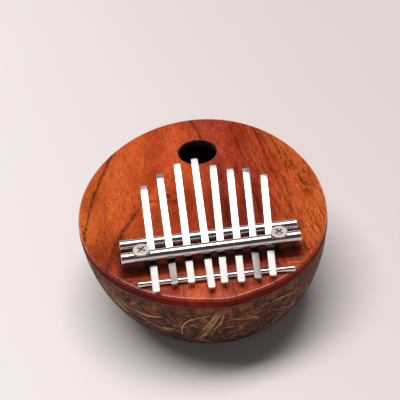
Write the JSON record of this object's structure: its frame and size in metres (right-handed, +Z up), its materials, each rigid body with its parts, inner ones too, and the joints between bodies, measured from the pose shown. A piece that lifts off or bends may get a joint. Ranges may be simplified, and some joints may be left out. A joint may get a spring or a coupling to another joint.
{
  "type": "thumb piano",
  "caption": "Thumb piano: springy steel tines clamped across a round-holed wooden soundboard that closes a half coconut shell resonator.",
  "frame": {"origin": "the point of the shell's flat foot right under the middle of the soundboard", "axes": "+X to the player's right along the bars, +Y from the tine tails to the tine tips, +Z up out of the soundboard"},
  "size_m": [0.1285, 0.1455, 0.0772],
  "materials": {
    "varnished_board": "gloss varnish over red-brown hardwood",
    "coconut": "scraped coconut shell with tan fibre strands, satin",
    "block_wood": "raw sawn hardwood",
    "plated_bar": "nickel plate",
    "tine_steel": "bright spring steel",
    "screw_steel": "satin nickel plate"
  },
  "bodies": {
    "soundbox": {"back_rod": "plated_bar", "bridge_bar": "plated_bar", "coconut_shell": "coconut", "pressure_bar": "plated_bar", "screw_block": "block_wood", "screw_left": "screw_steel", "screw_right": "screw_steel", "soundboard": "varnished_board", "tine_heel_1": "tine_steel", "tine_heel_2": "tine_steel", "tine_heel_3": "tine_steel", "tine_heel_4": "tine_steel", "tine_heel_5": "tine_steel", "tine_heel_6": "tine_steel", "tine_heel_7": "tine_steel", "tine_heel_8": "tine_steel"},
    "tine_1": {"tine_tongue_1": "tine_steel"},
    "tine_2": {"tine_tongue_2": "tine_steel"},
    "tine_3": {"tine_tongue_3": "tine_steel"},
    "tine_4": {"tine_tongue_4": "tine_steel"},
    "tine_5": {"tine_tongue_5": "tine_steel"},
    "tine_6": {"tine_tongue_6": "tine_steel"},
    "tine_7": {"tine_tongue_7": "tine_steel"},
    "tine_8": {"tine_tongue_8": "tine_steel"}
  },
  "joints": [
    {"name": "tine_1_flex", "type": "hinge", "parent": "soundbox", "child": "tine_1", "pos_m": [-0.029, -0.02915, 0.06573], "axis": [1, 0.0035, 0], "range_deg": [-5, 3], "stiffness_Nm_per_rad": 5.63},
    {"name": "tine_2_flex", "type": "hinge", "parent": "soundbox", "child": "tine_2", "pos_m": [-0.02, -0.02915, 0.06573], "axis": [1, 0.0052, 0], "range_deg": [-5, 3], "stiffness_Nm_per_rad": 4.7},
    {"name": "tine_3_flex", "type": "hinge", "parent": "soundbox", "child": "tine_3", "pos_m": [-0.0112, -0.02915, 0.06573], "axis": [0.9999, -0.0157, 0], "range_deg": [-5, 3], "stiffness_Nm_per_rad": 4.14},
    {"name": "tine_4_flex", "type": "hinge", "parent": "soundbox", "child": "tine_4", "pos_m": [-0.002, -0.02915, 0.06573], "axis": [0.9999, -0.0157, 0], "range_deg": [-5, 3], "stiffness_Nm_per_rad": 3.97},
    {"name": "tine_5_flex", "type": "hinge", "parent": "soundbox", "child": "tine_5", "pos_m": [0.00572, -0.02915, 0.06573], "axis": [0.9985, -0.0541, 0], "range_deg": [-5, 3], "stiffness_Nm_per_rad": 4.53},
    {"name": "tine_6_flex", "type": "hinge", "parent": "soundbox", "child": "tine_6", "pos_m": [0.01402, -0.02915, 0.06573], "axis": [0.9981, -0.061, 0], "range_deg": [-5, 3], "stiffness_Nm_per_rad": 5},
    {"name": "tine_7_flex", "type": "hinge", "parent": "soundbox", "child": "tine_7", "pos_m": [0.02212, -0.02915, 0.06573], "axis": [0.9979, -0.0645, 0], "range_deg": [-5, 3], "stiffness_Nm_per_rad": 5.1},
    {"name": "tine_8_flex", "type": "hinge", "parent": "soundbox", "child": "tine_8", "pos_m": [0.03023, -0.02916, 0.06573], "axis": [0.9962, -0.0872, 0], "range_deg": [-5, 3], "stiffness_Nm_per_rad": 5.98}
  ]
}
